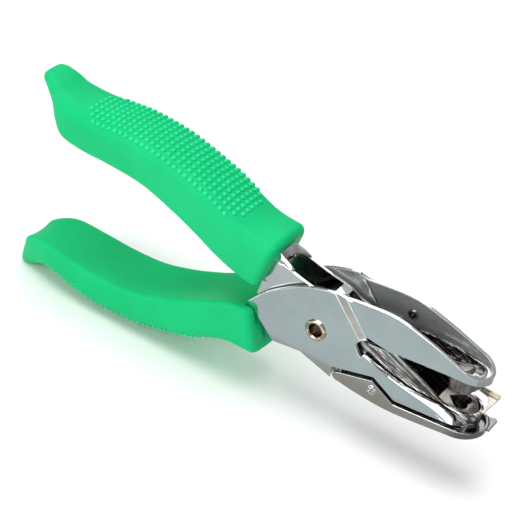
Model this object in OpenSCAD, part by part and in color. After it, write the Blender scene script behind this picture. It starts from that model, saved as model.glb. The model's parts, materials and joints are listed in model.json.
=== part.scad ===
/* [Jaw frame] */
// Sheet thickness of the jaw frame
frame_t = 1.0; // [0.8:0.1:1.1]
// Half the outer width of the frame round the pivot
frame_half = 6.3; // [6.2:0.1:6.5]
// Half the outer width of the upper jaw
jaw_half = 5.6; // [5.5:0.1:5.7]
// Distance from the pivot to the centre of the upper jaw's round nose
nose_x = 40.4; // [40.0:0.1:40.6]

/* [Levers] */
// Sheet thickness of both handle levers
lever_t = 0.9; // [0.7:0.1:0.9]
// Half the outer width of the upper (die) lever
die_half = 4.6; // [4.55:0.05:4.65]
// Half the outer width of the lower (punch) lever
punch_half = 3.65; // [3.55:0.05:3.65]
// Angle that the punch lever turns through from open to closed, in degrees
throw = 7.1; // [6.6:0.1:7.2]

/* [Pivot] */
// Outer radius of the hollow pivot rivet
rivet_r = 2.4; // [2.2:0.1:2.6]
// Bore radius of the hollow pivot rivet
bore_r = 1.8; // [1.4:0.1:1.9]
// Radius of the rolled lip on each end of the rivet
lip_r = 3.1; // [2.9:0.1:3.4]
// Wire diameter of the return spring
wire_d = 1.0; // [0.8:0.1:1.0]
// Number of turns of the return spring
spring_turns = 3; // [2:1:3]

/* [Punch and die] */
// Width of the heart-shaped hole in the die
heart_w = 6.0; // [5.6:0.1:6.2]
// Gap between blade and die on every side
blade_gap = 0.15; // [0.12:0.01:0.2]
// Distance from the pivot to the punch axis with the jaws closed
punch_x = 39.05; // [38.9:0.05:39.2]
// Height of the die's upper face
die_z = -4.1; // [-4.2:0.05:-4.0]
// Radius of the punch's round shoulder
shoulder_r = 4.0; // [3.6:0.1:4.0]

/* [Chip catcher] */
// Sheet thickness of the chip catcher
tray_t = 0.8; // [0.6:0.1:0.8]
// Gap between the catcher's rim and the frame's lower edge
seam = 1.2; // [1.0:0.1:1.3]

/* [Grips] */
// Full width of each grip
grip_w = 18.4; // [17:0.2:20]
// Angle between the lower grip and the upper grip's mirror image, in degrees
grip_tilt = 2.5; // [2:0.1:2.8]

/* [Hidden] */
$fn = 64;
run_gap = 0.05;          // running clearance between a pin and its hole
cut = 20;                // half length of a tool that cuts right through
hinge = [8.0, -10.4];    // chip catcher's hinge, in the side view
dimple = [18.2, -9.1];   // chip catcher's detent
strip_y = frame_half - frame_t;        // inner face of the frame's rear cheeks
strip_t = 0.4;                         // stripper's thickness
strip_z = -2.3;                        // underside of the stripper's plate
strip_x = 47.4;                        // front edge of the stripper
strip_rivet = [8.5, -4.2];             // rivet that holds the stripper
die_nose_x = 40.9;                     // centre of the lower jaw's round nose
tray_nose_x = 41.4;                    // centre of the chip catcher's round nose
tray_x = 48.2;                         // the catcher's outline ends ahead of its nose
bush_r = rivet_r + 0.7;                // outer radius of the spacer bush
coil_r = bush_r + 0.15 + wire_d / 2;   // mean radius of the spring coil
coil_pitch = wire_d + 0.05;
coil_shift = 0.5;                      // the coil sits this far to the far side of the middle
moving_leg_y = -2.2;                   // the moving leg's place, clear of the coil
leg_length = 21;
leg_rise = 20;                         // angle of each spring leg above or below the X axis
handle_split = -9.5;                   // each lever's handle is a node of its own behind this plane
jaw_split = 14;                        // each lever's jaw is a node of its own ahead of this plane
floor_z = 4.7;                         // underside of the punch lever's floor at the punch

// ---- curves in the side view, as [x, z] points ----

function at(p, i) = p[max(0, min(len(p) - 1, i))];
function blend_point(a, b, c, d, t) =
    0.5 * (2 * b + (c - a) * t + (2 * a - 5 * b + 4 * c - d) * t * t
           + (3 * b - a - 3 * c + d) * t * t * t);
// a smooth curve through every point of p, with n steps between neighbours
function smooth(p, n = 4) = concat(
    [for (i = [0:len(p) - 2], k = [0:n - 1])
        blend_point(at(p, i - 1), p[i], p[i + 1], at(p, i + 2), k / n)],
    [p[len(p) - 1]]);
function reversed(p) = [for (i = [len(p) - 1:-1:0]) p[i]];
function raised(p, dz) = [for (q = p) [q[0], q[1] + dz]];

// rear part of a frame cheek, round the pivot and along the lower jaw
cheek_top = smooth([[-20.4, -1.8], [-15.9, 3.4], [-9.3, 8.5], [-3.6, 11.5], [3.0, 13.4]]);
cheek_notch = [[12.3, 3.1], [11.3, 1.4], [13.3, -1.4], [13.9, -0.3]];
lower_jaw_top = smooth([[20.9, -2.5], [27, -3.8], [33, -4.0], [37.6, -4.3], [40.6, -5.6]]);
seam_line = [[41.2, -8.0], [24.7, -9.6], [17.9, -5.8], [6.4, -9.0]];
cheek_bottom = [[6.3, -9.8], [6.5, -11.8], [-3.3, -8.8], [-11.4, -9.9], [-17.3, -4.6]];
cheek_outline = concat(cheek_top, cheek_notch, lower_jaw_top, raised(seam_line, seam / 2),
                       cheek_bottom);

// upper jaw, in front of the diagonal joggle
jaw_top = smooth([[5.8, 13.0], [12, 13.9], [20.5, 14.4], [30.2, 12.2], [39.5, 9.0], [46.6, 6.7]]);
jaw_bottom = smooth([[46.6, 5.0], [41, 5.8], [30.6, 5.0], [22.2, 4.1], [15.4, 2.6], [13.6, 4.1]]);
jaw_outline = concat(jaw_top, jaw_bottom);
joggle_rear = [[3.0, 13.4], [12.3, 3.1]];
joggle_front = [[5.8, 13.0], [13.6, 4.1]];

// handle channel of the upper lever; the lower lever uses its mirror image
handle_spine = smooth([[-17, 8.7], [-27, 12.9], [-34, 16.2], [-41, 19.2], [-49, 21.9],
                       [-58, 23.8], [-67, 24.3], [-80, 24.2]]);
channel_half = 3.3;                    // half the height of a handle channel
channel_top = raised(handle_spine, channel_half);
channel_bottom = raised(handle_spine, -channel_half);

// upper lever: handle, pivot boss and die jaw
die_jaw_top = smooth([[-13, 12.6], [-5, 10.6], [2.2, 9.3], [6.5, 7.4], [14, 5.6], [20.9, 3.7],
                      [24.6, 2.1], [34.0, -2.4], [37.3, -3.85], [41.0, -4.0], [45.8, -4.4]]);
die_jaw_bottom = smooth([[45.8, -8.2], [40, -9.3], [28, -11.0], [20, -11.2], [14, -10.9],
                         [8, -12.1], [5.8, -11.0], [4, -8.0], [-4, -6.6], [-12, -0.5]]);
window_x = -13.8;                      // rear end of the round window in the upper lever's top wall
web_lip = [for (i = [2:-1:0]) die_jaw_top[i]];     // the top wall's edge beside the window
die_lever_outline = concat(reversed(channel_top), die_jaw_top, die_jaw_bottom, channel_bottom);

// lower lever: punch jaw and pivot boss; its handle follows from the mirrored channel
punch_jaw_top = smooth([[-12.5, -1.2], [-5, 4.8], [0, 6.3], [5, 6.0], [12, 6.2], [20, 7.0],
                        [26.4, 8.0], [32, 8.0], [37, 7.7], [44.6, 6.5]]);
punch_jaw_bottom = smooth([[20, 2.0], [13, -1.5], [7, -4.6], [0, -6.3], [-8, -8.6], [-14, -10.8]]);

// grip, in the upper lever's place
grip_outer = smooth([[-92.6, 32.9], [-88.8, 32.8], [-84.6, 29.6], [-78, 28.3], [-70, 29.4],
                     [-61, 29.7], [-52, 28.6], [-42.8, 26.2], [-36.5, 24.3], [-31, 21.6],
                     [-26.5, 19.3], [-21.8, 18.0], [-17.5, 17.8], [-15.4, 16.2]]);
grip_inner = smooth([[-17.0, 5.0], [-19.7, 3.9], [-29.2, 7.8], [-42, 14.0], [-54.6, 18.2],
                     [-67, 19.3], [-75, 19.2], [-82, 20.7], [-87.2, 26.4], [-91.6, 30.8]]);
grip_plan = concat([[-12, -1], [-12, 1]], smooth([[-74, 1], [-84, 0.86], [-90, 0.66], [-93, 0.5]], 3),
                   smooth([[-93, -0.5], [-90, -0.66], [-84, -0.86], [-74, -1]], 3));

// ---- building blocks ----

// a side-view outline as a plate between two values of y
module plate(y0, y1) {
    translate([0, y1, 0])
        rotate([90, 0, 0])
            linear_extrude(y1 - y0)
                children();
}

module both_plates(half, t) {
    plate(-half, t - half) children();
    plate(half - t, half) children();
}

// a plan-view outline as an upright block
module upright() {
    translate([0, 0, -cut])
        linear_extrude(2 * cut)
            children();
}

module pin(x, z, r, y0, y1) {
    translate([x, y1, z])
        rotate([90, 0, 0])
            cylinder(r = r, h = y1 - y0);
}

module nose_plan(x0, x1, half) {
    translate([x0, -half])
        square([x1 - x0, 2 * half]);
    translate([x1, 0])
        circle(r = half);
}

// a band of sheet bent round a nose: walls on both sides, joined at the front
module nose_band(x0, x1, half, t) {
    upright()
        difference() {
            nose_plan(x0, x1, half);
            nose_plan(x0 - 1, x1, half - t);
        }
}

// a heart with its point at the origin and its lobes along +X
module heart(w) {
    s = w / (1 / sqrt(2) + 1);
    rotate(-45) {
        square(s);
        translate([s / 2, s])
            circle(d = s);
        translate([s, s / 2])
            circle(d = s);
    }
}

function heart_length(w) = w / (1 / sqrt(2) + 1) * (0.75 * sqrt(2) + 0.5);

// wire of diameter wire_d along a list of points, all in one coil about the Y axis
module coil_wire(turns, pitch, radius) {
    sides = 8;
    per_turn = 20;
    count = turns * per_turn;
    function ring(i) = let (a = 360 * i / per_turn, y = pitch * (i / per_turn - turns / 2))
        [for (k = [0:sides - 1]) let (b = 360 * k / sides, r = radius + wire_d / 2 * cos(b))
            [r * cos(a), y + wire_d / 2 * sin(b), r * sin(a)]];
    points = [for (i = [0:count]) each ring(i)];
    faces = concat(
        [[for (k = [0:sides - 1]) k]],
        [for (i = [0:count - 1], k = [0:sides - 1]) let (m = (k + 1) % sides)
            [i * sides + k, (i + 1) * sides + k, (i + 1) * sides + m, i * sides + m]],
        [[for (k = [sides - 1:-1:0]) count * sides + k]]);
    polyhedron(points, faces, convexity = 6);
}

// a straight spring leg that leaves the coil at a tangent
module spring_leg(angle, side, y) {
    rotate([0, angle, 0])
        translate([0, y, side * coil_r])
            rotate([0, -90, 0])
                cylinder(d = wire_d, h = leg_length, $fn = 24);
}

// puts what is drawn for the upper handle in the lower handle's place
module lower_place() {
    rotate([0, grip_tilt, 0])
        mirror([0, 0, 1])
            children();
}

// ---- parts ----

// the two cheeks of the jaw frame
module jaw_frame() {
    color("lightsteelblue")
        difference() {
            both_plates(frame_half, frame_t)
                polygon(cheek_outline);
            pin(0, 0, rivet_r, -cut, cut);
            pin(strip_rivet[0], strip_rivet[1], 0.8, 0, cut);
        }
}

// the loop that joins the cheeks round the upper jaw's nose
module upper_jaw() {
    color("lightsteelblue") {
        intersection() {
            nose_band(0, nose_x, jaw_half, frame_t);
            plate(-cut, cut)
                polygon(jaw_outline);
        }
        joggle();
        mirror([0, 1, 0])
            joggle();
    }
}

// the sloping band of sheet between a rear cheek and the narrower upper jaw
module joggle() {
    lap = 0.1;
    corners = [for (p = joggle_rear, y = [frame_half - frame_t, frame_half]) [p[0], y, p[1]],
               for (p = joggle_front, y = [jaw_half - frame_t, jaw_half]) [p[0] + lap, y, p[1]]];
    hull()
        polyhedron(corners, [[0, 2, 3, 1], [4, 5, 7, 6], [0, 1, 5, 4], [2, 6, 7, 3],
                             [0, 4, 6], [0, 6, 2], [1, 3, 7], [1, 7, 5]]);
}

// the stretch of a lever between two upright planes
module stretch(x0, x1) {
    intersection() {
        children();
        translate([x0, -cut, -2 * cut])
            cube([x1 - x0, 2 * cut, 4 * cut]);
    }
}

module upper_handle() {
    stretch(-5 * cut, handle_split)
        die_channel();
}

module die_lever() {
    stretch(handle_split, jaw_split)
        die_channel();
}

module die_jaw() {
    stretch(jaw_split, 3 * cut)
        die_channel();
}

// the whole upper lever, from its handle to the lower jaw
module die_channel() {
    color("silver")
        difference() {
            union() {
                intersection() {
                    nose_band(-100, die_nose_x, die_half, lever_t);
                    plate(-cut, cut)
                        polygon(die_lever_outline);
                }
                handle_web(die_half, concat(web_lip, channel_top), window_x);
            }
            pin(0, 0, rivet_r + run_gap, -cut, cut);
            pin(hinge[0], hinge[1], 1 + run_gap, -cut, cut);
        }
}

// top wall of a handle channel along an edge line, with a round notch that starts at notch_x
module handle_web(half, edge, notch_x) {
    notch_r = half - lever_t;
    difference() {
        plate(-half, half)
            polygon(concat(edge, reversed(raised(edge, -lever_t))));
        translate([notch_x + notch_r, 0, 0]) {
            cylinder(r = notch_r, h = 2 * cut);
            translate([0, -notch_r, 0])
                cube([cut, 2 * notch_r, 2 * cut]);
        }
    }
}

module die_plate() {
    color("darkgray")
        difference() {
            intersection() {
                upright()
                    nose_plan(34.4, die_nose_x, die_half - lever_t);
                plate(-cut, cut)
                    polygon([[34.4, die_z], [42.6, die_z], [44.7, die_z - 0.9], [44.7, die_z - 1.9],
                             [42.2, die_z - 1.4], [34.4, die_z - 1.4]]);
            }
            upright()
                translate([punch_x - heart_length(heart_w) / 2, 0])
                    heart(heart_w);
        }
}

module stripper() {
    arm_top = strip_z + 1.4;
    color("tan")
        difference() {
            union() {
                plate(strip_y - strip_t, strip_y)
                    polygon([[strip_x, strip_z], [strip_x, arm_top], [14, arm_top], [11, -1.9],
                             [6, -2.2], [6, -6.2], [11, -6.2], [15, strip_z]]);
                translate([0, 0, strip_z])
                    linear_extrude(strip_t)
                        polygon([[34, strip_y], [strip_x, strip_y], [strip_x - 0.6, -2.9],
                                 [strip_x - 1.3, -2.9], [strip_x - 1.2, 1.2], [44.6, 3.8],
                                 [41.4, 4.7], [34, 4.7]]);
            }
            pin(strip_rivet[0], strip_rivet[1], 0.8, 0, cut);
        }
}

module stripper_rivet() {
    color("silver") {
        pin(strip_rivet[0], strip_rivet[1], 0.8, strip_y - strip_t, frame_half);
        pin(strip_rivet[0], strip_rivet[1], 1.5, frame_half, frame_half + 0.5);
    }
}

module pivot_rivet() {
    lip_y = frame_half + 0.7;
    color("tan")
        rotate([90, 0, 0])
            rotate_extrude()
                polygon([[bore_r, -lip_y], [lip_r - 0.3, -lip_y], [lip_r, -lip_y + 0.3],
                         [lip_r, -frame_half], [rivet_r, -frame_half], [rivet_r, frame_half],
                         [lip_r, frame_half], [lip_r, lip_y - 0.3], [lip_r - 0.3, lip_y],
                         [bore_r, lip_y]]);
}

module spacer_bush() {
    bush_half = punch_half - lever_t - run_gap;
    color("gray")
        difference() {
            pin(0, 0, bush_r, -bush_half, bush_half);
            pin(0, 0, rivet_r, -cut, cut);
        }
}

module spring_coil() {
    color("gold")
        translate([0, coil_shift, 0])
            coil_wire(spring_turns, coil_pitch, coil_r);
}

module spring_fixed_leg() {
    color("gold")
        spring_leg(leg_rise, 1, coil_shift + spring_turns * coil_pitch / 2);
}

module spring_moving_leg() {
    color("gold")
        spring_leg(grip_tilt - leg_rise, -1, moving_leg_y);
}

module lower_handle() {
    stretch(-5 * cut, handle_split)
        punch_channel();
}

module punch_lever() {
    stretch(handle_split, jaw_split)
        punch_channel();
}

module punch_jaw() {
    stretch(jaw_split, 3 * cut)
        punch_channel();
}

// the whole lower lever, from its handle to the upper jaw
module punch_channel() {
    jaw_slope = tan(throw);
    jaw_front = [[44.6, floor_z + 5.3 * jaw_slope], [27, floor_z - 12.3 * jaw_slope]];
    color("silver")
        difference() {
            union() {
                intersection() {
                    nose_band(-14, nose_x, punch_half, lever_t);
                    plate(-cut, cut)
                        polygon(concat(punch_jaw_top, jaw_front, punch_jaw_bottom));
                }
                intersection() {
                    upright()
                        nose_plan(26, nose_x, punch_half);
                    plate(-cut, cut)
                        polygon(concat(jaw_front, reversed(raised(jaw_front, lever_t))));
                }
                lower_place() {
                    both_plates(punch_half, lever_t)
                        polygon(concat([[-11.5, 5], [-11.5, 11.4]], channel_top,
                                       reversed(channel_bottom)));
                    handle_web(punch_half, channel_top, handle_spine[0][0] - 0.5);
                }
            }
            pin(0, 0, rivet_r + run_gap, -cut, cut);
            rotate([0, -throw, 0])
                translate([punch_x, 0, 0])
                    cylinder(r = 1.6, h = 3 * cut, center = true);
        }
}

module heart_punch() {
    blade_w = heart_w - 2 * blade_gap;
    blade_z = die_z - 0.7;
    shoulder_z = die_z + 0.5;
    floor_closed = floor_z * cos(throw) - (punch_x + 0.25) * sin(throw);
    color("dimgray")
        rotate([0, -throw, 0]) {
            translate([punch_x - heart_length(blade_w) / 2, 0, blade_z])
                linear_extrude(shoulder_z - blade_z + 1)
                    heart(blade_w);
            translate([punch_x, 0, shoulder_z])
                cylinder(r = shoulder_r, h = floor_closed - shoulder_z);
            translate([punch_x, 0, floor_closed - 1])
                cylinder(r = 1.6, h = lever_t + 1.5);
            translate([punch_x, 0, floor_closed + lever_t])
                cylinder(r1 = 2.4, r2 = 1.8, h = 1.0);
        }
}

module chip_catcher() {
    rim = raised(seam_line, -seam / 2);
    tip = [for (a = [90:30:270]) [hinge[0] + 1.25 * cos(a), hinge[1] + 1.25 * sin(a)]];
    underside = smooth([[8, -11.7], [14, -12.5], [21.4, -12.9], [28.2, -12.5], [41, -10.8],
                        [tray_x, -9.9]]);
    outline = concat([[tray_x, -8.3], rim[0], rim[1], rim[2]], tip, underside);
    tray_half = frame_half - tray_t;
    color("lightgray") {
        difference() {
            intersection() {
                upright()
                    nose_plan(hinge[0] - 1.3, tray_nose_x, frame_half);
                plate(-cut, cut)
                    polygon(outline);
            }
            intersection() {
                upright()
                    nose_plan(0, tray_nose_x, tray_half);
                plate(-cut, cut)
                    polygon(concat([[50, 0], [0, 0], [0, -14], [13, -14]],
                                   raised(smooth([[13, -12.4], [21.4, -12.9],
                                                  [28.2, -12.5], [41, -10.8], [50, -9.7]]),
                                          tray_t)));
            }
        }
        for (side = [0, 1])
            mirror([0, side, 0]) {
                pin(hinge[0], hinge[1], 1, die_half - lever_t, tray_half);
                pin(dimple[0], dimple[1], 1, die_half + run_gap, tray_half);
            }
        translate([tray_nose_x, 0, -9.2])
            linear_extrude(tray_t)
                polygon([[5.8, 0], [7.1, 0.2], [7.1, 4.6], [6.4, 5.4], [3.8, 4.5], [4.6, 3.6],
                         [5.5, 1.9]]);
    }
}

module grip() {
    difference() {
        intersection() {
            plate(-grip_w / 2, grip_w / 2)
                polygon(concat(grip_outer, grip_inner));
            translate([0, 0, -cut])
                linear_extrude(4 * cut)
                    scale([1, grip_w / 2])
                        polygon(grip_plan);
        }
        children();
    }
}

module upper_grip() {
    color("mediumseagreen")
        grip()
            plate(-die_half, die_half)
                polygon(concat([[-10, 14], [-10, 2]], channel_bottom, reversed(channel_top)));
}

module lower_grip() {
    slot = [4.9, frame_half + 0.4];
    color("mediumseagreen")
        lower_place()
            grip() {
                plate(-punch_half, punch_half)
                    polygon(concat([[-10, 14], [-10, 2]], channel_bottom, reversed(channel_top)));
                for (side = [0, 1])
                    mirror([0, side, 0])
                        plate(slot[0], slot[1])
                            polygon([[-22, -5], [0, -5], [0, 14], [-22, 8]]);
            }
}

jaw_frame();
upper_jaw();
upper_handle();
die_lever();
die_jaw();
die_plate();
stripper();
stripper_rivet();
pivot_rivet();
spacer_bush();
spring_coil();
spring_fixed_leg();
spring_moving_leg();
lower_handle();
punch_lever();
punch_jaw();
heart_punch();
chip_catcher();
upper_grip();
lower_grip();
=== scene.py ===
import json
import math

import bmesh
import bpy
from mathutils import Matrix, Vector


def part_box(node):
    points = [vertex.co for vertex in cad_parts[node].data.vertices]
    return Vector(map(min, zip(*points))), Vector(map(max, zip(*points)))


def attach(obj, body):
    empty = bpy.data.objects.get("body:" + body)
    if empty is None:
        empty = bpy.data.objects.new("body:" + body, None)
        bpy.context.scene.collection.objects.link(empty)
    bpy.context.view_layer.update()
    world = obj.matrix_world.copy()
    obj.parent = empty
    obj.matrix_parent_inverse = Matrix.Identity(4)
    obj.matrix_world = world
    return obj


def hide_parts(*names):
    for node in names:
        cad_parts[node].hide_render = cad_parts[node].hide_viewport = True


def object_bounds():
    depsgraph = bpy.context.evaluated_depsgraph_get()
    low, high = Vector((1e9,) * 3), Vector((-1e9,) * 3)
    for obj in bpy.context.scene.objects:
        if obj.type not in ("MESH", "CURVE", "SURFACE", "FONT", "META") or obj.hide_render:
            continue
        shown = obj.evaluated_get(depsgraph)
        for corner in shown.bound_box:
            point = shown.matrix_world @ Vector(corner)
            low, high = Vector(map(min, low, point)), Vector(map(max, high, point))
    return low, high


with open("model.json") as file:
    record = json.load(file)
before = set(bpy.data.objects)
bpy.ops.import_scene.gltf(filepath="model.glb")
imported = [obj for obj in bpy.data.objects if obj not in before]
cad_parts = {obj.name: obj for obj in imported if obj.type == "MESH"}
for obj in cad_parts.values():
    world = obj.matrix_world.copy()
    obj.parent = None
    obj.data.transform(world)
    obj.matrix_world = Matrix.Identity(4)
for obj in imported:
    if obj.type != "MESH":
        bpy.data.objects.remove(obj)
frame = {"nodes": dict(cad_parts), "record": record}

# A craft punch: chromed jaw frame and levers, green dotted grips, heart punch and die.
# The object's own sizes and the camera's aim are in millimetres, and MM turns them into the scene's
# metres. The camera's distance, the lights, the cards and the materials are in metres.
# The origin is the middle of the pivot, +X points to the nose, +Y to the far side and +Z up.
MM = 0.001
SHEET_EDGE = 0.22                  # rounding of a stamped sheet's edges
SOFT_EDGE = 1.25                   # rounding of the frame's widest bends
SHARP = 32                         # degrees an edge turns by before it is rounded
GRIP_TILT = math.radians(2.5)      # the lower grip leans this much from the upper grip's mirror image
UPPER_WALL = (3.75, 4.6)           # y of the inner and outer face of the upper lever's walls
BORE_R = frame["record"]["mounts"][0]["dims"]["r_mm"]
cad_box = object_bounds()


# ---- camera, light and floor ----

def add_camera():
    """Looks at the near side from above and a little from the nose's end, and leans to one side."""
    azimuth, elevation, roll = (math.radians(a) for a in (27.35, 35.45, 10.12))
    distance = 0.4642
    level = Vector((math.cos(azimuth), math.sin(azimuth), 0))
    back = Vector((math.sin(azimuth) * math.cos(elevation),
                   -math.cos(azimuth) * math.cos(elevation), math.sin(elevation)))
    up = back.cross(level)
    right = level * math.cos(roll) + up * math.sin(roll)
    up = back.cross(right)
    aim = Vector((-21.9, 0, 6.8)) * MM
    data = bpy.data.cameras.new("camera")
    data.lens = 125.3
    data.sensor_width = 36
    data.clip_start = 0.01
    camera = bpy.data.objects.new("camera", data)
    turn = Matrix((right, up, back)).transposed().to_4x4()
    camera.matrix_world = Matrix.Translation(aim + back * distance) @ turn
    bpy.context.scene.collection.objects.link(camera)
    bpy.context.scene.camera = camera


def add_softbox(name, spot, size, power):
    """A rectangular lamp that points at the pivot."""
    data = bpy.data.lights.new(name, "AREA")
    data.shape = "RECTANGLE"
    data.size, data.size_y = size
    data.energy = power
    lamp = bpy.data.objects.new(name, data)
    lamp.location = spot
    lamp.rotation_euler = (-Vector(spot)).to_track_quat("-Z", "Y").to_euler()
    bpy.context.scene.collection.objects.link(lamp)


def add_card(name, corners, colour, strength):
    """A plain studio card that is only seen as a reflection."""
    mesh = bpy.data.meshes.new(name)
    mesh.from_pydata(corners, [], [(0, 1, 2, 3)])
    material = bpy.data.materials.new(name)
    material.use_nodes = True
    nodes, links = material.node_tree.nodes, material.node_tree.links
    nodes.clear()
    glow = nodes.new("ShaderNodeEmission")
    glow.inputs["Color"].default_value = (*colour, 1)
    glow.inputs["Strength"].default_value = strength
    out = nodes.new("ShaderNodeOutputMaterial")
    links.new(glow.outputs["Emission"], out.inputs["Surface"])
    mesh.materials.append(material)
    card = bpy.data.objects.new(name, mesh)
    card.visible_camera = False
    card.visible_diffuse = False
    card.visible_shadow = False
    card.visible_transmission = False
    bpy.context.scene.collection.objects.link(card)


def add_cards():
    """Cards that lie in front of the punch and by its nose, and two that stand further out."""
    low = cad_box[0][2] + 0.002
    left, right = -0.15, 0.10
    lying = [("dark_card", (left, right), (-0.028, -0.011), (0.42, 0.40, 0.37), 1.0),
             ("cool_card", (left, right), (-0.066, -0.028), (0.49, 0.56, 0.565), 1.0),
             ("bright_card", (left, right), (-0.165, -0.068), (1, 1, 1), 2.0),
             ("nose_card", (0.06, 0.25), (-0.028, 0.08), (0.36, 0.38, 0.40), 1.0)]
    for name, (x0, x1), (y0, y1), colour, strength in lying:
        add_card(name, [(x0, y0, low), (x1, y0, low), (x1, y1, low), (x0, y1, low)], colour, strength)
    side_x, side_top = 0.22, 0.05
    add_card("side_card", [(side_x, -0.25, low), (side_x, 0.06, low), (side_x, 0.06, side_top),
                           (side_x, -0.25, side_top)], (0.40, 0.42, 0.44), 1.0)
    warm_y, warm_top = -0.17, 0.02
    add_card("warm_card", [(left, warm_y, low), (0.20, warm_y, low), (0.20, warm_y, warm_top),
                           (left, warm_y, warm_top)], (0.50, 0.46, 0.43), 1.0)


def add_world():
    """A pale studio that is brightest overhead and greyer towards the horizon."""
    world = bpy.data.worlds.new("studio")
    bpy.context.scene.world = world
    world.use_nodes = True
    nodes, links = world.node_tree.nodes, world.node_tree.links
    nodes.clear()
    where = nodes.new("ShaderNodeTexCoord")
    split = nodes.new("ShaderNodeSeparateXYZ")
    ramp = nodes.new("ShaderNodeValToRGB")
    ramp.color_ramp.elements[0].position = 0.0
    ramp.color_ramp.elements[0].color = (0.30, 0.32, 0.34, 1)
    ramp.color_ramp.elements[1].position = 0.9
    ramp.color_ramp.elements[1].color = (1.0, 1.0, 1.0, 1)
    glow = nodes.new("ShaderNodeBackground")
    glow.inputs["Strength"].default_value = 0.52
    out = nodes.new("ShaderNodeOutputWorld")
    links.new(where.outputs["Generated"], split.inputs[0])
    links.new(split.outputs["Z"], ramp.inputs["Fac"])
    links.new(ramp.outputs["Color"], glow.inputs["Color"])
    links.new(glow.outputs["Background"], out.inputs["Surface"])


def add_floor(material):
    """The floor is level with the lowest point of the CAD."""
    half = 3.0
    low = cad_box[0][2]
    mesh = bpy.data.meshes.new("floor")
    mesh.from_pydata([(-half, -half, low), (half, -half, low), (half, half, low), (-half, half, low)],
                     [], [(0, 1, 2, 3)])
    floor = bpy.data.objects.new("floor", mesh)
    mesh.materials.append(material)
    bpy.context.scene.collection.objects.link(floor)


# ---- materials ----

class Paint:
    """A Principled material with helpers for the noise that drives its colour, gloss and bump."""

    def __init__(self, name, metallic, ior=1.5):
        self.material = bpy.data.materials.new(name)
        self.material.use_nodes = True
        self.nodes = self.material.node_tree.nodes
        self.links = self.material.node_tree.links
        self.shader = self.nodes["Principled BSDF"]
        self.shader.inputs["Metallic"].default_value = metallic
        self.shader.inputs["IOR"].default_value = ior
        self.where = self.nodes.new("ShaderNodeTexCoord").outputs["Object"]

    def noise(self, scale, detail, stretch=(1, 1, 1), roughness=0.5, slope=0):
        """Noise, drawn out along axes that slope down towards the nose by some degrees."""
        mapping = self.nodes.new("ShaderNodeMapping")
        mapping.vector_type = "TEXTURE"
        mapping.inputs["Rotation"].default_value = (0, math.radians(slope), 0)
        mapping.inputs["Scale"].default_value = tuple(1 / s for s in stretch)
        texture = self.nodes.new("ShaderNodeTexNoise")
        texture.inputs["Scale"].default_value = scale
        texture.inputs["Detail"].default_value = detail
        texture.inputs["Roughness"].default_value = roughness
        self.links.new(self.where, mapping.inputs["Vector"])
        self.links.new(mapping.outputs["Vector"], texture.inputs["Vector"])
        return texture.outputs["Fac"]

    def ramp(self, value, stops):
        """A colour for each value, from (position, colour) stops."""
        node = self.nodes.new("ShaderNodeValToRGB")
        elements = node.color_ramp.elements
        while len(elements) < len(stops):
            elements.new(0.5)
        for element, (position, colour) in zip(elements, stops):
            element.position = position
            element.color = (*colour, 1)
        self.links.new(value, node.inputs["Fac"])
        return node.outputs["Color"]

    def scaled(self, value, low, high, start=0.0, end=1.0):
        """Turns values from start to end into values from low to high, and holds them outside."""
        node = self.nodes.new("ShaderNodeMapRange")
        node.inputs["From Min"].default_value = start
        node.inputs["From Max"].default_value = end
        node.inputs["To Min"].default_value = low
        node.inputs["To Max"].default_value = high
        self.links.new(value, node.inputs["Value"])
        return node.outputs["Result"]

    def joined(self, a, b, operation="ADD"):
        """Two numbers added, or joined by another operation of the Math node."""
        node = self.nodes.new("ShaderNodeMath")
        node.operation = operation
        self.links.new(a, node.inputs[0])
        self.links.new(b, node.inputs[1])
        return node.outputs[0]

    def shaded(self, colour, share):
        """A colour multiplied by a number."""
        node = self.nodes.new("ShaderNodeVectorMath")
        node.operation = "SCALE"
        self.links.new(colour, node.inputs["Vector"])
        self.links.new(share, node.inputs["Scale"])
        return node.outputs["Vector"]

    def forward(self):
        """Distance from the pivot towards the nose, in metres."""
        split = self.nodes.new("ShaderNodeSeparateXYZ")
        self.links.new(self.where, split.inputs[0])
        return split.outputs["X"]

    def outward(self):
        """Distance from the middle plane, in metres, times how squarely a face looks away from it. It is
        negative on faces that look towards it."""
        part = []
        for output in ("Object", "Normal"):
            split = self.nodes.new("ShaderNodeSeparateXYZ")
            source = self.nodes.new("ShaderNodeTexCoord")
            self.links.new(source.outputs[output], split.inputs[0])
            part.append(split.outputs["Y"])
        return self.joined(*part, "MULTIPLY")

    def colour(self, value):
        self.links.new(value, self.shader.inputs["Base Color"])

    def gloss(self, value):
        self.links.new(value, self.shader.inputs["Roughness"])

    def bump(self, height, distance, strength):
        node = self.nodes.new("ShaderNodeBump")
        node.inputs["Distance"].default_value = distance
        node.inputs["Strength"].default_value = strength
        self.links.new(height, node.inputs["Height"])
        self.links.new(node.outputs["Normal"], self.shader.inputs["Normal"])


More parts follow.
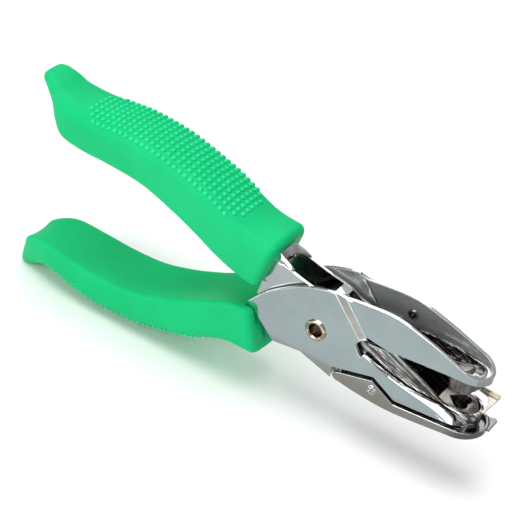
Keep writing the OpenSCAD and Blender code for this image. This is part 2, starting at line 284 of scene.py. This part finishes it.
def chrome_paint(name="chrome", tint=(0.74, 0.77, 0.775), dull=0.0, inner=0.0, shade=1.0, nose=1.0):
    """Polished chrome: faint clouding, fine rubbing marks and a slight roll in the sheet. Faces that
    look inwards can be satin (inner) and darkened by painted shade (shade), and the nose end can be
    darkened by painted shade (nose)."""
    nose_shade_start, nose_shade_end = 0.0385, 0.0425
    paint = Paint(name, 1.0)
    cloud = paint.noise(90, 4)
    dark = tuple(c * 0.93 for c in tint)
    light = tuple(min(1, c * 1.04) for c in tint)
    tone = paint.ramp(cloud, [(0.3, dark), (0.7, light)])
    # painted shade: faces that look inwards are darkened
    if shade < 1:
        tone = paint.shaded(tone, paint.scaled(paint.outward(), shade, 1.0, -0.001, 0.0))
    # painted shade: the nose end is darkened
    if nose < 1:
        tone = paint.shaded(tone, paint.scaled(paint.forward(), 1.0, nose, nose_shade_start, nose_shade_end))
    paint.colour(tone)
    rub = paint.noise(900, 5, (0.12, 1, 1), 0.7)
    gloss = paint.scaled(paint.joined(cloud, rub), 0.05 + dull, 0.16 + dull, 0.7, 1.35)
    if inner:
        gloss = paint.joined(gloss, paint.scaled(paint.outward(), inner, 0, -0.002, 0.0))
        satin = paint.scaled(paint.outward(), 0.45, 1.0, -0.002, 0.0)
        paint.links.new(satin, paint.shader.inputs["Metallic"])
    paint.gloss(gloss)
    roll = paint.noise(70, 2)
    fine = paint.scaled(rub, 0, 0.04)
    paint.bump(paint.joined(roll, fine), 0.00006, 0.55)
    return paint.material


def streaked_chrome(name, dark, light):
    """Plating over drawn sheet. On the jaw end of a lever, long streaks in shape, and in tone as painted
    reflection; a plain polish on its handle end; and painted shade on the faces inside its channel."""
    slope = 24
    jaw_start, jaw_full = 0.006, 0.016
    paint = Paint(name, 1.0)
    broad = paint.noise(760, 3, (0.08, 1, 1), 0.6, slope)
    fine = paint.noise(1500, 4, (0.05, 1, 1), 0.6, slope)
    jaw_end = paint.scaled(paint.forward(), 0, 1, jaw_start, jaw_full)
    plain = paint.scaled(jaw_end, 1, 0)
    # the streaks in tone are painted reflection; the bump below gives them shape
    tone = paint.ramp(paint.joined(broad, plain, "MAXIMUM"), [(0.43, dark), (0.56, light)])
    # painted shade: faces inside the channel are darkened
    paint.colour(paint.shaded(tone, paint.scaled(paint.outward(), 0.32, 1.0, -0.001, 0.0)))
    paint.gloss(paint.scaled(fine, 0.07, 0.20, 0.3, 0.7))
    height = paint.joined(broad, paint.scaled(fine, 0, 0.12))
    paint.bump(paint.joined(height, jaw_end, "MULTIPLY"), 0.00036, 0.9)
    return paint.material


def steel_paint(name, dark, light, roughness, grain=(1, 1, 1)):
    """Bare or plated steel with a directional grain, small pits and uneven gloss."""
    paint = Paint(name, 1.0)
    cloud = paint.noise(260, 5)
    lines = paint.noise(1500, 4, grain, 0.65)
    paint.colour(paint.ramp(paint.joined(cloud, lines, "MULTIPLY"), [(0.12, dark), (0.42, light)]))
    paint.gloss(paint.scaled(lines, roughness * 0.7, roughness * 1.4, 0.3, 0.7))
    paint.bump(lines, 0.00002, 0.7)
    return paint.material


def grip_paint(name, dark, light, roughness):
    """Soft green moulding: fine mould texture, slight blotches and a low satin sheen."""
    paint = Paint(name, 0.0, 1.47)
    blotch = paint.noise(55, 3)
    paint.colour(paint.ramp(blotch, [(0.3, dark), (0.7, light)]))
    texture = paint.noise(2600, 3)
    paint.gloss(paint.scaled(paint.joined(blotch, texture), roughness, roughness + 0.16, 0.7, 1.3))
    waves = paint.noise(140, 2)
    paint.bump(paint.joined(paint.scaled(texture, 0, 0.55), waves), 0.00005, 0.7)
    paint.shader.inputs["Specular IOR Level"].default_value = 0.12
    return paint.material


def floor_paint():
    """Plain pale matt floor."""
    paint = Paint("studio_floor", 0.0)
    paint.colour(paint.ramp(paint.noise(3, 2), [(0.3, (0.97, 0.97, 0.97)), (0.7, (0.98, 0.98, 0.98))]))
    paint.gloss(paint.scaled(paint.noise(40, 2), 0.75, 0.85))
    return paint.material


# ---- mesh tools ----

def add_object(name, mesh, material):
    """Puts a mesh with one material into the scene."""
    mesh.materials.clear()
    mesh.materials.append(material)
    piece = bpy.data.objects.new(name, mesh)
    bpy.context.scene.collection.objects.link(piece)
    return piece


def mesh_piece(name, vertices, faces, material):
    """A smooth-shaded object in metres from vertices in millimetres."""
    mesh = bpy.data.meshes.new(name)
    mesh.from_pydata([Vector(v) * MM for v in vertices], [], faces)
    mesh.validate()
    work = bmesh.new()
    work.from_mesh(mesh)
    bmesh.ops.recalc_face_normals(work, faces=work.faces)
    work.to_mesh(mesh)
    work.free()
    mesh.polygons.foreach_set("use_smooth", [True] * len(mesh.polygons))
    return add_object(name, mesh, material)


def place(piece, body, slot, *nodes):
    """Fixes a piece to its body and hides the CAD nodes it stands for. The slot argument is not used."""
    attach(piece, body)
    if nodes:
        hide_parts(*nodes)
    return piece


def baked(piece):
    """Puts the result of the piece's modifiers into its own mesh."""
    bpy.context.view_layer.update()
    evaluated = piece.evaluated_get(bpy.context.evaluated_depsgraph_get())
    mesh = bpy.data.meshes.new_from_object(evaluated)
    piece.modifiers.clear()
    piece.data = mesh
    return piece


def combine(piece, other, operation):
    """Joins other to the piece or cuts it away, and removes other."""
    modifier = piece.modifiers.new("combine", "BOOLEAN")
    modifier.operation = operation
    modifier.solver = "EXACT"
    modifier.object = other
    baked(piece)
    bpy.data.objects.remove(other)
    return piece


def copy_of(name, nodes, material):
    """One object from copies of one or more CAD nodes."""
    piece = add_object(name, frame["nodes"][nodes[0]].data.copy(), material)
    for node in nodes[1:]:
        combine(piece, add_object("other", frame["nodes"][node].data.copy(), material), "UNION")
    return piece


def tidy_faces(piece):
    """Merges doubled points and the triangles of each flat face, so that edges can be rounded."""
    same_point = 0.02 * MM
    flat = math.radians(0.4)
    work = bmesh.new()
    work.from_mesh(piece.data)
    bmesh.ops.remove_doubles(work, verts=work.verts, dist=same_point)
    bmesh.ops.dissolve_limit(work, angle_limit=flat, verts=work.verts, edges=work.edges)
    work.to_mesh(piece.data)
    work.free()
    return piece


def round_edges(piece, width=SHEET_EDGE, segments=3):
    """Rounds every sharp edge, and shades the rest smooth."""
    for attribute in ("custom_normal", "sharp_face", "sharp_edge"):
        found = piece.data.attributes.get(attribute)
        if found:
            piece.data.attributes.remove(found)
    piece.data.polygons.foreach_set("use_smooth", [True] * len(piece.data.polygons))
    bevel = piece.modifiers.new("rounding", "BEVEL")
    bevel.width = width * MM
    bevel.segments = segments
    bevel.limit_method = "ANGLE"
    bevel.angle_limit = math.radians(SHARP)
    bevel.use_clamp_overlap = False
    bevel.harden_normals = True
    bevel.miter_outer = "MITER_ARC"
    return piece


# x and z of the ends of the joggle's two bends across the frame's cheeks
JOGGLE_REAR = ((3.0, 13.4), (12.3, 3.1))
JOGGLE_FRONT = ((5.9, 13.0), (13.7, 4.1))
# the lower jaw's upper edge: x, z and how far below it the cheek starts to lean inwards
JAW_LEAN = [(21.5, -2.5, 0.3), (24.0, -3.1, 0.4), (27.0, -3.7, 0.6), (30.0, -3.9, 0.9),
            (33.0, -4.0, 1.4), (36.0, -4.1, 2.0), (38.5, -4.5, 2.6), (41.5, -5.7, 3.1)]


def on_line(point, a, b, slack=0.12):
    """Whether a point in millimetres lies on the line through a and b, in the side view."""
    dx, dz = b[0] - a[0], b[1] - a[1]
    off = (point.x - a[0]) * dz - (point.z - a[1]) * dx
    return abs(off) / math.hypot(dx, dz) < slack


def frame_edge_weight(edge):
    """How much of SOFT_EDGE an edge of the jaw frame is rounded by."""
    ends = [v.co / MM for v in edge.verts]
    outer = all(abs(abs(p.y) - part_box("jaw_frame")[1].y / MM) < 0.02 for p in ends)
    turn = math.degrees(edge.calc_face_angle(0))
    bent = turn > 3
    if bent and outer and all(on_line(p, *JOGGLE_REAR) for p in ends):
        return 1.0
    if bent and all(on_line(p, *JOGGLE_FRONT, 0.2) for p in ends):
        return 0.3
    # the line along which the lower jaw starts to lean
    if bent and turn < 16 and min(p.x for p in ends) > 20 and max(p.z for p in ends) < -2.8:
        return 0.4
    if turn < SHARP:
        return 0.0
    # the lower jaw's upper edge, which gets rounder towards the nose
    middle = (ends[0] + ends[1]) / 2
    if outer and 20 < middle.x < 40.3 and -6 < middle.z < -2.4:
        return 0.30 + 0.20 * max(0, min(1, (middle.x - 27) / 8))
    return SHEET_EDGE / SOFT_EDGE


def jaw_shaving(side, material):
    """The thin wedge taken off the outside of the lower jaw, which leans its upper edge inwards."""
    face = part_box("jaw_frame")[1].y / MM
    lean, over, out = 0.21, 1.0, 0.8
    vertices = []
    for x, z, below in JAW_LEAN:
        for y, up in ((0.0, -below), (-lean * (below + over), over), (out, over), (out, -below)):
            vertices.append((x, side * (face + y), z + up))
    faces = ring_faces(len(JAW_LEAN), 4)
    faces.append((0, 1, 2, 3))
    faces.append(tuple(4 * len(JAW_LEAN) - 4 + k for k in range(4)))
    return mesh_piece("shaving", vertices, faces, material)


def frame_sheet(material):
    """The jaw frame: soft bends at the joggle and along the lower jaw, small ones elsewhere. The
    lower jaw's cheeks are a little thicker on their inner side."""
    jaw_x, jaw_z, inside, thicker = 20, -2, 5.5, 5.0
    piece = copy_of("jaw_frame_sheet", ["jaw_frame", "upper_jaw"], material)
    for side in (-1, 1):
        combine(piece, jaw_shaving(side, material), "DIFFERENCE")
    tidy_faces(piece)
    work = bmesh.new()
    work.from_mesh(piece.data)
    for vertex in work.verts:
        x, y, z = vertex.co / MM
        if x > jaw_x and z < jaw_z and abs(y) < inside:
            vertex.co.y = math.copysign(thicker, y) * MM
    layer = work.edges.layers.float.new("bevel_weight_edge")
    for edge in work.edges:
        edge[layer] = frame_edge_weight(edge)
    work.to_mesh(piece.data)
    work.free()
    round_edges(piece, SOFT_EDGE, 5)
    piece.modifiers["rounding"].limit_method = "WEIGHT"
    return piece


def refined(name, nodes, material, width=SHEET_EDGE, segments=3):
    """One piece from one or more CAD nodes, joined and with rounded edges."""
    return round_edges(tidy_faces(copy_of(name, nodes, material)), width, segments)


def upper_lever(material):
    """The upper lever, with its walls drawn out behind the corners of the frame's cheeks."""
    piece = copy_of("upper_lever_sheet", ["upper_handle", "die_lever", "die_jaw"], material)
    outline = [(-19.3, 0.4), (-18.3, 4.8), (-15.5, 6.0), (-10, 4.0), (-8, 0.4)]
    inner, outer = UPPER_WALL
    for band in ((-outer, -inner), (inner, outer)):
        combine(piece, side_blocks("wall", outline, [band], material), "UNION")
    return round_edges(tidy_faces(piece))


def ring_faces(rings, count):
    """Quads between neighbouring closed rings of count points each."""
    faces = []
    for i in range(rings - 1):
        for k in range(count):
            m = (k + 1) % count
            faces.append((i * count + k, i * count + m, (i + 1) * count + m, (i + 1) * count + k))
    return faces


def lathe(name, profile, material, steps=64):
    """A closed profile of (radius, height) points turned about the Y axis."""
    vertices = []
    for i in range(steps):
        angle = math.tau * i / steps
        vertices += [(r * math.cos(angle), h, r * math.sin(angle)) for r, h in profile]
    count = len(profile)
    faces = ring_faces(steps, count)
    faces += [((steps - 1) * count + k, (steps - 1) * count + (k + 1) % count, (k + 1) % count, k)
              for k in range(count)]
    return mesh_piece(name, vertices, faces, material)


def lever_place(point, upper):
    """Puts a point drawn for the upper lever in the upper or the lower lever's place."""
    if upper:
        return point
    x, y, z = point.x, point.y, -point.z
    return Vector((x * math.cos(GRIP_TILT) + z * math.sin(GRIP_TILT), y,
                   z * math.cos(GRIP_TILT) - x * math.sin(GRIP_TILT)))


def side_blocks(name, outline, bands, material, upper=True):
    """Blocks of one side-view outline between pairs of y, for the upper lever or the lower one."""
    vertices, faces = [], []
    count = len(outline)
    for low, high in bands:
        start = len(vertices)
        for y in (low, high):
            vertices += [lever_place(Vector((x, y, z)), upper) for x, z in outline]
        faces += [tuple(start + k for k in range(count)),
                  tuple(start + 2 * count - 1 - k for k in range(count))]
        faces += [(start + k, start + (k + 1) % count, start + count + (k + 1) % count,
                   start + count + k) for k in range(count)]
    return mesh_piece(name, vertices, faces, material)


def tube(name, points, radius, material):
    """Round wire along a line of points, closed with small domes."""
    sides = 14
    vertices = []
    normal = None
    first, last = points[0] - points[1], points[-1] - points[-2]
    ends = [(0.0, 0.15), (0.5, 0.8)]
    line = [(points[0] + first.normalized() * radius * (1 - a), b) for a, b in ends]
    line += [(p, 1.0) for p in points]
    line += [(points[-1] + last.normalized() * radius * (1 - a), b) for a, b in reversed(ends)]
    for i, (point, share) in enumerate(line):
        ahead = line[min(i + 1, len(line) - 1)][0] - line[max(i - 1, 0)][0]
        ahead.normalize()
        if normal is None:
            normal = ahead.orthogonal().normalized()
        normal = (normal - ahead * normal.dot(ahead)).normalized()
        side = ahead.cross(normal)
        for k in range(sides):
            angle = math.tau * k / sides
            vertices.append(point + (normal * math.cos(angle) + side * math.sin(angle)) * radius * share)
    rings = len(line)
    faces = ring_faces(rings, sides)
    faces.append(tuple(range(sides)))
    faces.append(tuple(range((rings - 1) * sides, rings * sides)))
    return mesh_piece(name, vertices, faces, material)


def smooth_rows(rows, steps):
    """A smooth curve through rows of numbers, with the given steps between neighbours."""
    result = []
    for i in range(len(rows) - 1):
        a, b, c, d = (rows[max(0, min(len(rows) - 1, i + k))] for k in (-1, 0, 1, 2))
        for s in range(steps):
            t = s / steps
            result.append([0.5 * (2 * q + (r - p) * t + (2 * p - 5 * q + 4 * r - w) * t * t
                                  + (3 * q - p - 3 * r + w) * t ** 3) for p, q, r, w in zip(a, b, c, d)])
    result.append(list(rows[-1]))
    return result


# ---- grips ----

# stations from the tail to the mouth: outer x and z, inner x and z, half width. The lower grip is
# drawn as an upper one, and lever_place() turns it over.
UPPER_STATIONS = [
    (-92.8, 32.7, -92.6, 32.0, 2.7), (-92.0, 33.5, -91.9, 31.0, 3.8), (-90.0, 33.8, -90.0, 29.4, 4.7),
    (-87.0, 32.9, -87.4, 26.8, 5.8), (-83.6, 31.4, -85.2, 22.9, 7.0), (-78.5, 30.1, -81.8, 20.2, 8.4),
    (-71.5, 30.0, -74.5, 19.4, 9.1), (-63, 30.6, -65.5, 19.3, 9.2), (-52, 29.7, -55, 18.3, 9.2),
    (-42.8, 27.4, -45.2, 15.2, 9.2), (-35, 24.8, -37, 11.8, 9.2), (-29, 21.9, -31.2, 9.0, 9.2),
    (-24, 19.8, -26.6, 7.2, 9.2), (-20, 19.0, -22.8, 6.1, 9.2), (-16.1, 18.7, -19.6, 5.5, 9.2)]
LOWER_STATIONS = [
    (-93.7, 32.6, -93.5, 31.8, 2.4), (-93.2, 33.4, -93.4, 30.6, 3.3), (-91.2, 33.7, -92.8, 28.4, 4.3),
    (-88.2, 32.4, -91.9, 25.0, 5.2), (-84.6, 30.0, -90.4, 21.8, 6.4), (-79.0, 28.6, -84.0, 19.0, 8.1),
    (-71.5, 29.2, -74.5, 19.2, 9.0), (-63, 29.8, -65.5, 19.3, 9.2), (-52, 28.7, -55, 18.2, 9.2),
    (-42.8, 26.3, -45.2, 15.0, 9.2), (-35, 23.7, -37, 11.2, 9.2), (-29, 20.7, -31.2, 7.9, 9.2),
    (-24, 18.6, -27, 5.6, 9.2), (-19.5, 17.9, -23.2, 4.2, 9.2), (-15.4, 17.7, -20.2, 3.9, 9.2)]
OUTER_ROUND, INNER_ROUND = 4.0, 1.1
MOUTH_ROUND = 2.0
# side views of the room for the lever, and for the frame's cheeks, in a grip's mouth
MOUTH_POCKET = [(-25, 15.4), (-25, 8.7), (-17, 5.2), (-8, 1.0), (-8, 14.1), (-13, 12.7), (-17, 12.1)]
CHEEK_SLOT = [(-20.9, 2.3), (-20.5, 5.6), (-17.2, 8.0), (-11, 12.6), (0, 14), (0, -5), (-15.9, -3.6)]
# radius of a dot, and the pitch of the dots along and across the grip
DOT_R, DOT_ALONG, DOT_ACROSS = 0.64, 1.74, 1.95
# where the dots start and end along the outer face from the tail, and how far they reach to each side
DOT_START, DOT_END, DOT_REACH = 18.0, 68.5, 8.9


def grip_section(half, height):
    """Half of a grip's cross-section, from the middle of its outer face to the middle of its inner
    face, as (sideways, up from the inner face) points."""
    outer = min(OUTER_ROUND, 0.48 * height, 0.8 * half)
    inner = min(INNER_ROUND, 0.3 * height, 0.5 * half)
    crown = 0.05 * half
    points = [(half * 0.97 * k / 8 - outer * k / 8, height - crown * (k / 8) ** 2) for k in range(8)]
    for k in range(9):
        angle = math.pi / 2 * (1 - k / 8)
        points.append((half - outer + outer * math.cos(angle),
                       height - crown - outer + outer * math.sin(angle)))
    low, high = inner, height - crown - outer
    points += [(half, high + (low - high) * k / 6) for k in range(1, 6)]
    for k in range(7):
        angle = -math.pi / 2 * k / 6
        points.append((half - inner + inner * math.cos(angle), inner + inner * math.sin(angle)))
    hollow = 0.55 * min(1, height / 10)
    points += [((half - inner) * (1 - k / 7), hollow * math.sin(math.pi / 2 * k / 7))
               for k in range(1, 8)]
    return points


def grip_rings(upper):
    """The grip's rings of points, from its tail to its mouth."""
    rings = []
    stations = UPPER_STATIONS if upper else LOWER_STATIONS
    for ox, oz, ix, iz, half in smooth_rows(stations, 8):
        outer, inner = Vector((ox, 0, oz)), Vector((ix, 0, iz))
        height = (outer - inner).length
        up = (outer - inner).normalized()
        side = grip_section(half, height)
        loop = side + [(-y, h) for y, h in reversed(side[1:-1])]
        rings.append([lever_place(inner + up * h + Vector((0, y, 0)), upper) for y, h in loop])
    return rings


def mouth_rings(ring):
    """Rings that round the grip's front edge over to its flat front face."""
    middle = sum(ring, Vector()) / len(ring)
    ahead = (ring[0] - ring[len(ring) // 2]).cross(Vector((0, 1, 0))).normalized()
    if ahead.x < 0:
        ahead = -ahead
    result = []
    for k in range(1, 7):
        angle = math.pi * k / 12
        inset, forward = MOUTH_ROUND * (1 - math.cos(angle)), MOUTH_ROUND * math.sin(angle)
        result.append([p + (middle - p).normalized() * inset + ahead * forward for p in ring])
    return result


def dome(vertices, faces, centre, normal, radius):
    """Adds one raised dot, sunk a little into the surface."""
    sides = 10
    levels = [(0.75, -0.35), (1.0, 0.0), (0.93, 0.30), (0.72, 0.56), (0.38, 0.74)]
    crest_height = 0.80
    across = normal.orthogonal().normalized()
    side = normal.cross(across)
    start = len(vertices)
    for share, height in levels:
        for k in range(sides):
            angle = math.tau * k / sides
            offset = across * math.cos(angle) + side * math.sin(angle)
            vertices.append(centre + offset * radius * share + normal * radius * height)
    for i in range(len(levels) - 1):
        for k in range(sides):
            m = (k + 1) % sides
            a = start + i * sides
            faces.append((a + k, a + m, a + sides + m, a + sides + k))
    top = start + (len(levels) - 1) * sides
    vertices.append(centre + normal * radius * crest_height)
    crest = len(vertices) - 1
    faces += [(top + k, top + (k + 1) % sides, crest) for k in range(sides)]
    faces.append(tuple(start + k for k in reversed(range(sides))))


def lengths(points):
    """Running length along a line of points."""
    total, result = 0.0, [0.0]
    for a, b in zip(points, points[1:]):
        total += (b - a).length
        result.append(total)
    return result


def at_length(table, value):
    """Index and share of the stretch of a running length that holds value."""
    for i in range(len(table) - 1):
        if value <= table[i + 1]:
            return i, (value - table[i]) / max(1e-9, table[i + 1] - table[i])
    return len(table) - 2, 1.0


def field_half(share):
    """How far the dots reach to each side at a place along the dotted field, as a share of full."""
    ends = min(1, share / 0.10, (1 - share) / 0.12)
    return 0.55 + 0.45 * math.sin(max(0, ends) * math.pi / 2)


def dotted_field(rings):
    """Vertices and faces of the rows of dots on the grip's outer face and upper sides."""
    vertices, faces = [], []
    along = lengths([ring[0] for ring in rings])
    half_count = len(rings[0]) // 2
    columns = int((DOT_END - DOT_START) / DOT_ALONG)
    rows = int(DOT_REACH / DOT_ACROSS) + 1
    for column in range(columns + 1):
        distance = DOT_START + column * DOT_ALONG
        i, t = at_length(along, distance)
        loop = [a.lerp(b, t) for a, b in zip(rings[i], rings[i + 1])]
        ahead = (rings[i + 1][0] - rings[i][0]).normalized()
        limit = DOT_REACH * field_half((distance - DOT_START) / (DOT_END - DOT_START))
        for row in range(-rows, rows + 1):
            offset = row * DOT_ACROSS
            if abs(offset) > limit:
                continue
            side = loop[:half_count + 1] if offset >= 0 else [loop[0]] + loop[:half_count - 1:-1]
            j, u = at_length(lengths(side), abs(offset))
            centre = side[j].lerp(side[j + 1], u)
            slope = (side[j + 1] - side[j]).normalized()
            normal = slope.cross(ahead).normalized()
            middle = (loop[0] + loop[half_count]) / 2
            if normal.dot(centre - middle) < 0:
                normal = -normal
            dome(vertices, faces, centre, normal, DOT_R)
    return vertices, faces


def make_grip(node, upper, body, material, dot_highlight_material):
    """A moulding with room for its lever in its mouth, and its dots. The lower one also has slots for
    the frame's cheeks."""
    name = node + "_moulding"
    rings = grip_rings(upper)
    shell = rings + mouth_rings(rings[-1])
    count = len(rings[0])
    vertices = [p for ring in shell for p in ring]
    faces = ring_faces(len(shell), count)
    faces.append(tuple(range(count)))
    faces.append(tuple(range((len(shell) - 1) * count, len(shell) * count)))
    grip = mesh_piece(name, vertices, faces, material)
    half = 4.68 if upper else 3.73
    combine(grip, side_blocks("pocket", MOUTH_POCKET, [(-half, half)], material, upper), "DIFFERENCE")
    if not upper:
        bands = [(5.1, 6.5), (-6.5, -5.1)]
        combine(grip, side_blocks("slots", CHEEK_SLOT, bands, material, upper), "DIFFERENCE")
    # the dots carry a lighter green as a painted highlight
    dots = mesh_piece(name + "_dots", *dotted_field(rings), dot_highlight_material)
    place(grip, body, "green_grip", node)
    place(dots, body, "green_grip")


# ---- pivot ----

def make_rivet(material):
    """Hollow rivet with a rolled lip on each face."""
    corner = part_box("pivot_rivet")[1]
    lip_r, lip_y = corner.x / MM, corner.y / MM
    seat, shank_r = 6.3, 2.4
    roll_r = (lip_r - BORE_R) / 2
    centre = BORE_R + roll_r
    lip = [(centre - roll_r * math.cos(a), seat + (lip_y - seat) * math.sin(a))
           for a in (math.pi * k / 12 for k in range(13))]
    top = lip + [(shank_r, seat)]
    profile = top + [(r, -y) for r, y in reversed(top)]
    return lathe("rivet", profile, material)


def make_spring(material):
    """One bent wire: a coil round the bush and two legs that lean towards each other, by upper_lean
    and lower_lean degrees. The lower leg is on the punch arm, and overlaps the coil's last points."""
    radius, wire_r, turns, leg = 4.4, 0.5, 3, 10
    upper_lean, lower_lean = 8, 10.5
    far_y, near_y = 2.075, -2.2
    steps, shared = 180, 14
    start = math.radians(90 + upper_lean)
    stop = -math.radians(90 + lower_lean)
    sweep = start - stop + math.tau * turns
    coil = []
    for k in range(steps + 1):
        angle = start - sweep * k / steps
        coil.append(Vector((radius * math.cos(angle), far_y + (near_y - far_y) * k / steps,
                            radius * math.sin(angle))))
    shares = (0.05, 0.25, 0.5, 0.75, 1)
    back = Vector((-math.sin(start), 0, math.cos(start)))
    fixed = [coil[0] + back * leg * t for t in reversed(shares)]
    upper = tube("spring_wire", fixed + coil, wire_r, material)
    back = Vector((math.sin(stop), 0, -math.cos(stop)))
    moving = coil[-shared:] + [coil[-1] + back * leg * t for t in shares]
    lower = tube("spring_leg", moving, wire_r * 0.99, material)
    place(upper, "frame", "spring_steel", "spring_coil", "spring_fixed_leg")
    place(lower, "punch_arm", "spring_steel", "spring_moving_leg")


# ---- small details ----

def slab_faces(across, along):
    """Faces of a closed slab of two layers, each (across + 1) rows of (along + 1) points."""
    count, layer = along + 1, (across + 1) * (along + 1)
    faces = []
    for i in range(across):
        for k in range(along):
            a = i * count + k
            faces.append((a, a + 1, a + count + 1, a + count))
            faces.append((layer + a, layer + a + count, layer + a + count + 1, layer + a + 1))
    for i in range(across):
        for a, b in ((i * count, (i + 1) * count), ((i + 1) * count + along, i * count + along)):
            faces.append((a, b, layer + b, layer + a))
    for k in range(along):
        for a, b in ((k + 1, k), (across * count + k, across * count + k + 1)):
            faces.append((a, b, layer + b, layer + a))
    return faces


def web_cap(material):
    """Rolled top of the upper lever, from under its grip (rear) to the round end of its window."""
    half, flat_half, rear = 4.58, 2.6, -17.4
    window_r, window_x, bend_x = 3.7, -10.1, -13
    rise, thickness = 3.2, 0.45
    across, along = 28, 12
    vertices = []
    for below in (0.0, thickness):
        for i in range(across + 1):
            y = half * (2 * i / across - 1)
            rim = window_x - math.sqrt(max(0.0, window_r ** 2 - y ** 2))
            roll = math.sqrt(1 - max(0.0, (abs(y) - flat_half) / (half - flat_half)) ** 2)
            for k in range(along + 1):
                t = k / along
                x = rear + (rim - rear) * t
                lever_top = 12.68 + 0.15 * (x - bend_x) - 0.05 * max(0.0, x - bend_x) ** 2
                lift = rise * (1 - t ** 1.6) * roll - 0.8 * (1 - roll)
                vertices.append((x, y, lever_top + lift - below))
    return mesh_piece("lever_web", vertices, slab_faces(across, along), material)


def make_dimple(name, y, side, material):
    """Round boss with four pressed petals, on a side face of the chip catcher."""
    x, z, radius, rise, sunk = 18.2, -9.1, 1.45, 0.42, 0.3
    petal_r, petal_reach, turned = 0.55, 0.26, 0.4
    steps, levels = 64, 12
    vertices = []
    for level in range(levels + 1):
        r = radius * level / levels
        for k in range(steps):
            angle = math.tau * k / steps
            crown = 1 - (r / radius) ** 2.2
            petal = max(0.0, math.cos(2 * angle)) ** 1.5 * math.exp(-((r - petal_r) / petal_reach) ** 2)
            vertices.append((x + r * math.cos(angle + turned), y + side * rise * (crown - petal),
                             z + r * math.sin(angle + turned)))
    faces = ring_faces(levels + 1, steps)
    back = len(vertices)
    vertices += [(px, y - side * sunk, pz) for px, _, pz in vertices[levels * steps:]]
    faces += [(levels * steps + k, levels * steps + (k + 1) % steps, back + (k + 1) % steps, back + k)
              for k in range(steps)]
    faces.append(tuple(back + k for k in range(steps)))
    faces.append(tuple(range(steps)))
    return mesh_piece(name, vertices, faces, material)


def make_die(material):
    """The die, with its rim a little inside its channel so that the gap round it shows. The heart-shaped
    hole, which is all inside hole_r, stays as it is."""
    piece = copy_of("die", ["die_plate"], material)
    nose_x, hole_r, shrink = 40.9 * MM, 3.3 * MM, 0.93
    for vertex in piece.data.vertices:
        ahead = max(0.0, vertex.co.x - nose_x)
        if math.hypot(ahead, vertex.co.y) > hole_r:
            vertex.co.y *= shrink
            vertex.co.x -= ahead * (1 - shrink)
    return round_edges(tidy_faces(piece), 0.12)


def lever_bridge(material):
    """Cross-piece between the upper lever's walls, in front of its window."""
    outline = [(0.5, 9.6), (3.4, 8.9), (3.4, 8.1), (0.5, 8.8)]
    half = 3.8
    return round_edges(side_blocks("lever_bridge", outline, [(-half, half)], material), 0.2)


def make_jaw_rivet(material):
    """Small round rivet head on the inner face of the upper jaw's far side."""
    centre = Vector((20.2, 4.62, 9.9))
    profile = [(1.45, 0.3), (1.45, -0.15), (1.25, -0.50), (0.80, -0.66), (0.40, -0.50), (0.05, -0.42),
               (0.05, 0.3)]
    piece = lathe("jaw_rivet", profile, material, 32)
    piece.data.transform(Matrix.Translation(centre * MM))
    return piece


# ---- assembly ----

def build():
    """Every piece, on its body and with its finish."""
    # painted shade on the frame's inward faces (shade)
    chrome = chrome_paint(inner=0.16, shade=0.5)
    # painted reflection in the streaks' tone, painted shade inside the levers' channels
    inner_chrome = streaked_chrome("inner_chrome", (0.12, 0.10, 0.085), (0.80, 0.80, 0.79))
    # painted shade on the catcher's inward faces and on its nose end
    catcher_chrome = chrome_paint("catcher_chrome", (0.57, 0.58, 0.565), 0.05, 0.2, 0.2, 0.5)
    nickel = steel_paint("nickel", (0.42, 0.36, 0.28), (0.80, 0.74, 0.64), 0.16)
    tool = steel_paint("tool_steel", (0.13, 0.12, 0.11), (0.40, 0.375, 0.35), 0.22, (1, 1, 0.1))
    plain = steel_paint("plain_steel", (0.50, 0.46, 0.40), (0.76, 0.71, 0.63), 0.14, (0.1, 1, 1))
    spring = steel_paint("spring_wire", (0.34, 0.26, 0.13), (0.86, 0.74, 0.48), 0.12)
    green = grip_paint("green_moulding", (0.003, 0.50, 0.172), (0.007, 0.57, 0.206), 0.42)
    # the dots' lighter green is a painted highlight on the moulding's own green
    dot_green_painted_highlight = grip_paint("green_dots_painted_highlight", (0.012, 0.66, 0.27), (0.028, 0.73, 0.33), 0.34)

    place(frame_sheet(chrome), "frame", "chrome", "jaw_frame", "upper_jaw")
    place(upper_lever(inner_chrome), "frame", "chrome", "die_lever", "die_jaw", "upper_handle")
    place(refined("lower_lever_sheet", ["punch_lever", "punch_jaw", "lower_handle"], inner_chrome),
          "punch_arm", "chrome", "punch_lever", "punch_jaw", "lower_handle")
    place(refined("catcher_tray", ["chip_catcher"], catcher_chrome),
          "catcher", "chrome", "chip_catcher")
    side_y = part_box("chip_catcher")[1].y / MM
    for name, side in (("near_dimple", -1), ("far_dimple", 1)):
        place(make_dimple(name, side * side_y, side, catcher_chrome), "catcher", "chrome")
    place(make_die(tool), "frame", "tool_steel", "die_plate")
    place(refined("punch", ["heart_punch"], tool, 0.15), "punch_arm", "tool_steel", "heart_punch")
    place(refined("stripper_strip", ["stripper"], plain, 0.08), "frame", "plain_steel", "stripper")
    place(refined("strip_rivet", ["stripper_rivet"], nickel, 0.2, 4),
          "frame", "nickel", "stripper_rivet")
    place(refined("bush", ["spacer_bush"], tool, 0.2), "frame", "tool_steel", "spacer_bush")
    place(make_rivet(nickel), "frame", "nickel", "pivot_rivet")
    place(make_jaw_rivet(tool), "frame", "tool_steel")
    place(web_cap(chrome), "frame", "chrome")
    place(lever_bridge(chrome), "frame", "chrome")
    make_spring(spring)
    make_grip("upper_grip", True, "frame", green, dot_green_painted_highlight)
    make_grip("lower_grip", False, "punch_arm", green, dot_green_painted_highlight)


add_camera()
add_world()
add_cards()
add_softbox("overhead", (-0.05, -0.10, 0.80), (0.60, 0.60), 4.6)
add_softbox("front", (-0.25, -0.75, 0.35), (0.60, 0.40), 3.2)
add_softbox("rear", (-0.30, 0.60, 0.50), (0.60, 0.35), 0.8)
add_floor(floor_paint())
bpy.context.scene.view_settings.view_transform = "Standard"
build()
